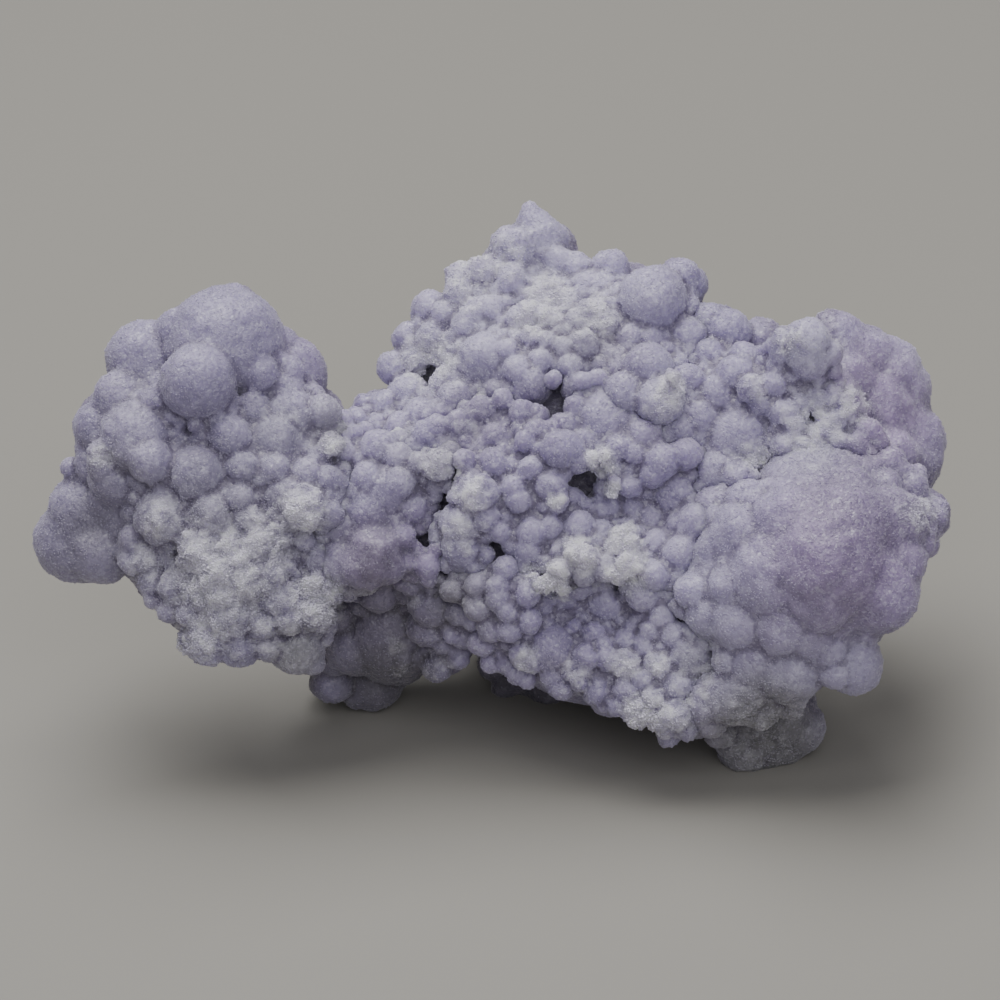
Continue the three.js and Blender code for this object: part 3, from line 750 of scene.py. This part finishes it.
def soft_mask(where):
    """How much the lumps at each point have grown together, from 0 to 1."""
    far = patch_mask(where, FAR_SOFT_PATCHES, SOFT_BACK) * (where[2] < FAR_FRONT)
    return np.maximum(patch_mask(where, SOFT_PATCHES, SOFT_BACK), far)


def hollowness(points, normals, edges, near, mid):
    """How each point lies to the evened skins near it: -1 on a crown and 1 in a crevice."""
    depth = ((near - points) * normals).sum(axis=1) / (NEAR_HOLLOW * MM)
    depth += ((mid - points) * normals).sum(axis=1) / (MID_HOLLOW * MM)
    return np.clip(spread(depth, edges, 1), -1, 1)


def roughness(count, edges, crust, soft, chance):
    """How far each point of a skin stands out or in, in millimetres."""
    sand = np.clip(spread(chance.normal(0, 1, count), edges, 1), -1, 1)
    rough = sand * (SAND[0] + SAND[1] * crust)
    rough += lumpy(count, edges, CRUMB_ROUNDS, chance) * (CRUMBS[0] + CRUMBS[1] * crust)
    rough += lumpy(count, edges, WAVE_ROUNDS, chance) * (WAVES[0] * soft + WAVES[1] * crust)
    return rough


def write_mask(mesh, name, values):
    """Stores one value for each point of a mesh."""
    attribute = mesh.attributes.new(name, "FLOAT", "POINT")
    attribute.data.foreach_set("value", np.ascontiguousarray(values, dtype=np.float32))


def read_masks(mesh):
    """The stored masks of a mesh, by name."""
    masks = {}
    for name in MASKS:
        masks[name] = np.empty(len(mesh.vertices), dtype=np.float32)
        mesh.attributes[name].data.foreach_get("value", masks[name])
    return masks


def store_masks(mesh, where, facing, hollow, crust, soft, behind):
    """Stores the masks of a skin, from its patches in front, its patches behind and its own form."""
    _, up, front = where
    sunk, pit = sunk_below(where)
    seen = np.clip(SEEN_SLOPE * facing + SEEN_START, 0, 1) * (sunk < SUNK_MOST)
    # Painted shade: sunk points and the sheltered patches darken toward the crevice colour.
    sunk_shade = np.maximum(ramp(sunk, *SUNK_FADE) * seen, patch_mask(where, DEEP_SHADE_PATCHES))
    # Painted shade: the underside far back and low down, and the sunk parts of pits, are darkened in the
    # colour.
    shade = UNDER_SHADE * ramp(-front, *UNDER_BACK) * ramp(-up, *UNDER_DOWN)
    shade = np.maximum(shade, PIT_SHADE * pit * ramp(sunk, *PIT_FADE) * seen)
    write_mask(mesh, "crust", crust)
    write_mask(mesh, "hollow", np.maximum(hollow * (1 - SOFT_HOLLOW * soft), sunk_shade))
    write_mask(mesh, "pink", np.maximum(patch_mask(where, PINK_PATCHES), behind["pink"]))
    write_mask(mesh, "green", np.maximum(patch_mask(where, GREEN_PATCHES), behind["green"]))
    write_mask(mesh, "dark_and_shade", np.maximum(patch_mask(where, DARK_PATCHES, DARK_BACK), shade))
    write_mask(mesh, "pale", np.maximum(patch_mask(where, PALE_PATCHES), behind["pale"]))


def weather(mesh, merging, seed):
    """Merges the soft forms, roughens the crusts and stores the masks that the finish reads."""
    points, normals, edges = mesh_arrays(mesh)
    where = view_coordinates(points)
    facing = normals @ np.array(FRONT)
    hidden = np.flatnonzero(facing < HIDDEN_FACING)
    chance = np.random.default_rng(seed + HIDDEN_SEED)
    behind = {name: chance_patches(points, hidden, *patch, chance) for name, patch in HIDDEN_PATCHES.items()}
    crust = np.maximum(patch_mask(where, CRUST_PATCHES), behind["crust"])
    near = spread(points, edges, NEAR_ROUNDS)
    mid = spread(near, edges, MID_ROUNDS)
    wide = spread(mid, edges, merging)
    hollow = hollowness(points, normals, edges, near, mid)
    soft = soft_mask(where)
    rough = roughness(len(points), edges, crust, soft, np.random.default_rng(seed))
    points = points + (wide - points) * (MERGED * soft)[:, None]
    points = points + normals * (rough * MM)[:, None]
    points[:, 2] = np.maximum(points[:, 2], 0)
    mesh.vertices.foreach_set("co", points.ravel())
    store_masks(mesh, where, facing, hollow, crust, soft, behind)
    mesh.update()


def dress(piece):
    """Fixes a piece to the stone's body, in place of the plain solid."""
    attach(piece, "root")
    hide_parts("chalcedony")


def grow_mass(name, balls, cores, room, voxel, soften, merging, seed):
    """One mass of the stone: cores, lumps, fill, lining and the hidden side, fused and weathered."""
    rng = random.Random(seed)
    for core in cores:
        balls = balls + rear_lumps(core, room, rng)
    mesh = fused_skin(name, balls, cores, voxel, soften, rng)
    weather(mesh, merging, seed)
    piece = new_object(name, mesh)
    dress(piece)
    return piece


# A grain's radius in millimetres, how much longer or shorter its sides may be, and how far it stays above
# the table. Grains are GRAIN_BEHIND times as thick on what faces away from the view by more than
# GRAIN_FACING, and thicker on crusts.
GRAIN_RADII = (0.045, 0.085)
GRAIN_STRETCH = (0.8, 1.25)
GRAIN_CRUST_GROWTH = 0.7
GRAIN_LEAST_HEIGHT = 0.02
GRAIN_FREE_HEIGHT = 0.25
GRAIN_FACING = -0.25
GRAIN_BEHIND = 0.15
GRAIN_PLAIN = 0.6
GRAIN_CRUST = 1.6


def random_turns(count, chance):
    """Even random rotations, as an array of matrices."""
    spins = chance.normal(size=(count, 4))
    w, x, y, z = (spins / np.linalg.norm(spins, axis=1)[:, None]).T
    return np.stack([
        np.stack([1 - 2 * (y * y + z * z), 2 * (x * y - z * w), 2 * (x * z + y * w)], axis=1),
        np.stack([2 * (x * y + z * w), 1 - 2 * (x * x + z * z), 2 * (y * z - x * w)], axis=1),
        np.stack([2 * (x * z - y * w), 2 * (y * z + x * w), 1 - 2 * (x * x + y * y)], axis=1)], axis=1)


def grain_spots(mesh, crust, count, chance):
    """Chance spots on a skin for its grains, and a corner of the skin beside each."""
    points, normals, _ = mesh_arrays(mesh)
    mesh.calc_loop_triangles()
    corners = np.empty(len(mesh.loop_triangles) * 3, dtype=np.int64)
    mesh.loop_triangles.foreach_get("vertices", corners)
    corners = corners.reshape(-1, 3)
    sides = points[corners]
    cross = np.cross(sides[:, 1] - sides[:, 0], sides[:, 2] - sides[:, 0])
    facing = normals[corners].mean(axis=1) @ np.array(FRONT)
    weight = np.linalg.norm(cross, axis=1) * np.where(facing > GRAIN_FACING, 1.0, GRAIN_BEHIND)
    weight *= GRAIN_PLAIN + GRAIN_CRUST * crust[corners].mean(axis=1)
    weight *= sides[:, :, 2].min(axis=1) > GRAIN_FREE_HEIGHT * MM
    picks = np.searchsorted(np.cumsum(weight) / weight.sum(), chance.random(count))
    picks = np.minimum(picks, len(corners) - 1)
    share = chance.dirichlet((1, 1, 1), count)
    return (sides[picks] * share[:, :, None]).sum(axis=1), corners[picks, 0]


def grow_grains(piece, count, seed):
    """A sugary coat of tiny crystal grains over the outside of a mass, thickest on its crusts."""
    masks = read_masks(piece.data)
    chance = np.random.default_rng(seed)
    spots, beside = grain_spots(piece.data, masks["crust"], count, chance)
    radii = chance.uniform(*GRAIN_RADII, count)
    radii = radii * (1 + GRAIN_CRUST_GROWTH * masks["crust"][beside] * chance.random(count)) * MM
    shape, sides = GRAIN
    grains = np.einsum("nij,kj->nki", random_turns(count, chance), shape) * radii[:, None, None]
    grains *= chance.uniform(*GRAIN_STRETCH, (count, 1, 3))
    grains += spots[:, None, :]
    grains[:, :, 2] = np.maximum(grains[:, :, 2], GRAIN_LEAST_HEIGHT * MM)
    faces = (np.arange(count)[:, None, None] * len(shape) + sides[None]).reshape(-1, 3)
    name = piece.name + "_grains"
    coat = bpy.data.meshes.new(name)
    coat.from_pydata(grains.reshape(-1, 3).tolist(), [], faces.tolist())
    for mask, values in masks.items():
        write_mask(coat, mask, np.repeat(values[beside], len(shape)))
    coat.shade_smooth()
    coat.update()
    grains_piece = new_object(name, coat)
    dress(grains_piece)
    return grains_piece


def node_input(node, name, value):
    """Sets an input of a node by its name."""
    node.inputs[name].default_value = value


def feed(tree, socket, value):
    """Links a socket to an input, or sets the input to a plain value."""
    if hasattr(value, "links"):
        tree.links.new(value, socket)
    else:
        socket.default_value = value


def mix_colour(tree, share, first, second):
    """The first colour turned toward the second by a share."""
    mix = tree.nodes.new("ShaderNodeMix")
    mix.data_type = "RGBA"
    feed(tree, mix.inputs["Factor"], share)
    feed(tree, mix.inputs[6], first)
    feed(tree, mix.inputs[7], second)
    return mix.outputs[2]


def attribute_socket(tree, name):
    """A stored mask."""
    node = tree.nodes.new("ShaderNodeAttribute")
    node.attribute_name = name
    return node.outputs["Fac"]


def math_socket(tree, operation, first, second, clamp=False):
    """Two values worked out into one."""
    node = tree.nodes.new("ShaderNodeMath")
    node.operation = operation
    node.use_clamp = clamp
    feed(tree, node.inputs[0], first)
    feed(tree, node.inputs[1], second)
    return node.outputs[0]


def times(tree, value, factor):
    """A value made larger or smaller."""
    return math_socket(tree, "MULTIPLY", value, factor)


def noise_socket(tree, vector, scale, detail, roughness=0.6):
    """A cloudy pattern."""
    node = tree.nodes.new("ShaderNodeTexNoise")
    node_input(node, "Scale", scale)
    node_input(node, "Detail", detail)
    node_input(node, "Roughness", roughness)
    tree.links.new(vector, node.inputs["Vector"])
    return node.outputs["Fac"]


def stretch_socket(tree, value, low, high):
    """A value stretched so that it runs from 0 at low to 1 at high."""
    node = tree.nodes.new("ShaderNodeMapRange")
    node_input(node, "From Min", low)
    node_input(node, "From Max", high)
    tree.links.new(value, node.inputs["Value"])
    return node.outputs["Result"]


def grain_cells(tree, vector, scale):
    """Small cells: how far each point is from its cell's middle, and the cell's chance colour as a value."""
    cells = tree.nodes.new("ShaderNodeTexVoronoi")
    node_input(cells, "Scale", scale)
    tree.links.new(vector, cells.inputs["Vector"])
    chance = times(tree, cells.outputs["Color"], 1.0)
    return cells.outputs["Distance"], chance


# The stone's colours. Each later one is mixed over those before it.
LAVENDER = (0.275, 0.245, 0.395, 1)
LIGHT_LAVENDER = (0.355, 0.32, 0.475, 1)
PINK = (0.315, 0.238, 0.405, 1)
PALE = (0.50, 0.47, 0.64, 1)
GREY_GREEN = (0.29, 0.29, 0.30, 1)
# Crowns of the lumps are lightened toward this colour: frost on the tops, and painted light.
CROWN_FROST_AND_LIGHT = (0.52, 0.49, 0.65, 1)
# Painted shade: crevices and sunk stretches are darkened toward this colour.
CREVICE_SHADE = (0.175, 0.145, 0.23, 1)
CRUST = (0.78, 0.76, 0.85, 1)
FROST = (0.70, 0.68, 0.80, 1)
DULL = (0.16, 0.135, 0.22, 1)
# Painted shade: the underside, the pits and the dark patches are darkened toward this colour.
DARK_AND_SHADE = (0.10, 0.095, 0.10, 1)
SUGAR = (0.75, 0.74, 0.85, 1)

# The scales of the clouds, sand and grain patterns, in repeats a metre.
WIDE_CLOUDS = 160.0
FINE_CLOUDS = 900.0
SAND_SCALE = 1500.0
GRAIN_SCALE = 4300.0
CLOUD_STEPS = 3.0
SAND_STEPS = 4.0
SAND_ROUGHNESS = 0.7


def build_stone_surface():
    """The stone's colour, gloss and grain from its masks, shared by the skin and the grains."""
    group = bpy.data.node_groups.new("stone_surface", "ShaderNodeTree")
    socket = group.interface.new_socket
    socket("Lift", in_out="INPUT", socket_type="NodeSocketFloat")
    socket("Roughness", in_out="INPUT", socket_type="NodeSocketFloat")
    socket("Colour", in_out="OUTPUT", socket_type="NodeSocketColor")
    socket("Roughness", in_out="OUTPUT", socket_type="NodeSocketFloat")
    socket("Height", in_out="OUTPUT", socket_type="NodeSocketFloat")
    entry = group.nodes.new("NodeGroupInput")
    leave = group.nodes.new("NodeGroupOutput")
    spot = group.nodes.new("ShaderNodeTexCoord").outputs["Object"]
    wide_clouds = noise_socket(group, spot, WIDE_CLOUDS, CLOUD_STEPS)
    fine_clouds = math_socket(group, "SUBTRACT", noise_socket(group, spot, FINE_CLOUDS, CLOUD_STEPS), 0.5)
    away, chance = grain_cells(group, spot, GRAIN_SCALE)
    hollow = attribute_socket(group, "hollow")
    crown = stretch_socket(group, hollow, 0.2, -0.9)
    crevice = stretch_socket(group, hollow, 0.1, 1.0)
    ragged = math_socket(group, "ADD", attribute_socket(group, "crust"), times(group, fine_clouds, 1.8))
    crust = stretch_socket(group, ragged, 0.25, 0.8)
    frost = stretch_socket(group, chance, 0.62, 0.80)
    dull = stretch_socket(group, chance, 0.38, 0.20)
    colour = mix_colour(group, stretch_socket(group, wide_clouds, 0.35, 0.65), LAVENDER, LIGHT_LAVENDER)
    # Painted light and shade: crowns are lightened, crevices and sunk stretches darkened, and the underside
    # and pits darkened further.
    layers = (
        (attribute_socket(group, "pink"), PINK), (attribute_socket(group, "pale"), PALE),
        (attribute_socket(group, "green"), GREY_GREEN), (times(group, crown, 0.35), CROWN_FROST_AND_LIGHT),
        (times(group, crevice, 0.75), CREVICE_SHADE), (times(group, crust, 0.85), CRUST),
        (times(group, frost, 0.24), FROST), (times(group, dull, 0.16), DULL),
        (attribute_socket(group, "dark_and_shade"), DARK_AND_SHADE), (entry.outputs["Lift"], SUGAR))
    for share, tint in layers:
        colour = mix_colour(group, share, colour, tint)
    rough = math_socket(group, "ADD", entry.outputs["Roughness"], times(group, fine_clouds, 0.5))
    rough = math_socket(group, "ADD", rough, times(group, crust, 0.2))
    rough = math_socket(group, "SUBTRACT", rough, times(group, frost, 0.2), clamp=True)
    grain = times(group, math_socket(group, "SUBTRACT", 1.0, away), 0.9)
    sand = noise_socket(group, spot, SAND_SCALE, SAND_STEPS, SAND_ROUGHNESS)
    group.links.new(colour, leave.inputs["Colour"])
    group.links.new(rough, leave.inputs["Roughness"])
    group.links.new(math_socket(group, "ADD", sand, grain), leave.inputs["Height"])
    return group


def stone_finish(name, surface_group, lift, roughness, glow, grain):
    """Frosted waxy chalcedony: an inner glow, uneven gloss, a sheen and, where grain isn't 0, a bump."""
    material = bpy.data.materials.new(name)
    material.use_nodes = True
    tree = material.node_tree
    shader = tree.nodes["Principled BSDF"]
    surface = tree.nodes.new("ShaderNodeGroup")
    surface.node_tree = surface_group
    node_input(surface, "Lift", lift)
    node_input(surface, "Roughness", roughness)
    tree.links.new(surface.outputs["Colour"], shader.inputs["Base Color"])
    tree.links.new(surface.outputs["Roughness"], shader.inputs["Roughness"])
    node_input(shader, "IOR", 1.54)
    node_input(shader, "Sheen Weight", 0.22)
    node_input(shader, "Sheen Roughness", 0.4)
    node_input(shader, "Sheen Tint", (0.93, 0.91, 1.0, 1))
    node_input(shader, "Subsurface Weight", glow)
    node_input(shader, "Subsurface Radius", (1.0, 0.9, 1.1))
    node_input(shader, "Subsurface Scale", 0.0026)
    if grain:
        bump = tree.nodes.new("ShaderNodeBump")
        node_input(bump, "Strength", grain)
        node_input(bump, "Distance", 0.00012)
        tree.links.new(surface.outputs["Height"], bump.inputs["Height"])
        tree.links.new(bump.outputs["Normal"], shader.inputs["Normal"])
    return material


LIGHT_AIM = Vector((0, 0, 0.015))


def add_floor():
    """The plain pale floor that the stone stands on."""
    bm = bmesh.new()
    bmesh.ops.create_grid(bm, x_segments=1, y_segments=1, size=3.0)
    mesh = bpy.data.meshes.new("pale_floor")
    bm.to_mesh(mesh)
    bm.free()
    floor = new_object("pale_floor", mesh)
    material = bpy.data.materials.new("pale_floor")
    material.use_nodes = True
    shader = material.node_tree.nodes["Principled BSDF"]
    node_input(shader, "Base Color", (0.245, 0.238, 0.215, 1))
    node_input(shader, "Roughness", 0.6)
    mesh.materials.append(material)


def add_light(name, position, size, power, colour):
    """A square soft light turned toward the middle of the stone."""
    data = bpy.data.lights.new(name, "AREA")
    data.shape = "SQUARE"
    data.size = size
    data.energy = power
    data.color = colour
    light = bpy.data.objects.new(name, data)
    light.location = position
    light.rotation_euler = (LIGHT_AIM - Vector(position)).to_track_quat("-Z", "Y").to_euler()
    bpy.context.scene.collection.objects.link(light)


def add_studio():
    """Two soft lights and a dim even light all round."""
    add_light("overhead_soft", (-0.06, 0.16, 0.55), size=0.50, power=4.7, colour=(1.0, 0.985, 0.975))
    add_light("front_fill", (0.10, -0.52, 0.52), size=0.70, power=3.1, colour=(0.97, 0.96, 1.0))
    world = bpy.data.worlds.new("studio")
    bpy.context.scene.world = world
    world.use_nodes = True
    background = world.node_tree.nodes["Background"]
    node_input(background, "Color", (0.92, 0.91, 0.96, 1))
    node_input(background, "Strength", 0.12)


def add_camera():
    """The eye that the stone's view is described from."""
    data = bpy.data.cameras.new("view")
    data.lens = 120.0
    data.sensor_width = 36.0
    camera = bpy.data.objects.new("view", data)
    stand = (MIDDLE + FRONT * VIEW_DISTANCE) * MM
    camera.matrix_world = Matrix.Translation(stand) @ VIEW_AXES.to_4x4()
    bpy.context.scene.collection.objects.link(camera)
    bpy.context.scene.camera = camera


add_camera()
add_floor()
add_studio()

stone_surface = build_stone_surface()
skin = stone_finish("lavender_chalcedony", stone_surface, lift=0.0, roughness=0.5, glow=0.9, grain=0.6)
sugar = stone_finish("sugar_grains", stone_surface, lift=0.14, roughness=0.3, glow=0.0, grain=0.0)

# Each mass has its lumps, its cores, the size of its voxels, the rounds in which it is softened and in
# which its soft forms merge, and its count of grains.
MASSES = {
    "left_mass": (LEFT_LUMPS, LEFT_CORES, VOXEL_FINE, 1, 20, 24500),
    "neck": (NECK_LUMPS, NECK_CORES, VOXEL_FINE, 1, 20, 7000),
    "centre_mass": (CENTRE_LUMPS, CENTRE_CORES, VOXEL_FINE, 1, 12, 17000),
    "lower_mass": (LOWER_LUMPS, LOWER_CORES, VOXEL_FINE, 1, 4, 14000),
    "top_mass": (TOP_LUMPS, TOP_CORES, VOXEL_FINE, 1, 12, 16000),
    "right_mass": (KNOB_LUMPS + RIGHT_BACK_LUMPS, RIGHT_CORES, VOXEL_FINE, 1, 60, 13000),
    "bulge_mass": (BULGE_LUMPS, BULGE_CORES, VOXEL_FINE, 2, 110, 17000),
    "under_lobe": (UNDER_LUMPS, UNDER_CORES, VOXEL_FINE, 1, 12, 6000),
    "rear_mass": (REAR_LUMPS, REAR_CORES, VOXEL_COARSE, 1, 4, 3000),
    "foot": (FOOT_LUMPS, FOOT_CORES, VOXEL_FINE, 1, 4, 3000),
}
lumps_of = {name: as_balls(settings[0]) for name, settings in MASSES.items()}
front_map = np.full((len(MAP_ACROSS), len(MAP_UP)), NOTHING)
for balls in lumps_of.values():
    for ball in balls:
        stamp(front_map, ball)
PIT_MAP = pit_cells()
fills = share_out(fill_balls(front_map, PIT_MAP, random.Random(FILL_SEED)), lumps_of)
lining = share_out(lining_balls(front_map, PIT_MAP), lumps_of)
FRONT_LEVEL = surroundings(front_map, LEVEL_REACH, ANY_STEP)[0]
room = room_map(front_map, REAR_CORES)

FIRST_SEED = 21
for seed, (name, (_, cores, voxel, soften, merging, grains)) in enumerate(MASSES.items(), FIRST_SEED):
    balls = lumps_of[name] + fills[name] + lining[name]
    mass = grow_mass(name, balls, cores, room, voxel, soften, merging, seed)
    mass.data.materials.append(skin)
    coat = grow_grains(mass, grains, seed)
    coat.data.materials.append(sugar)
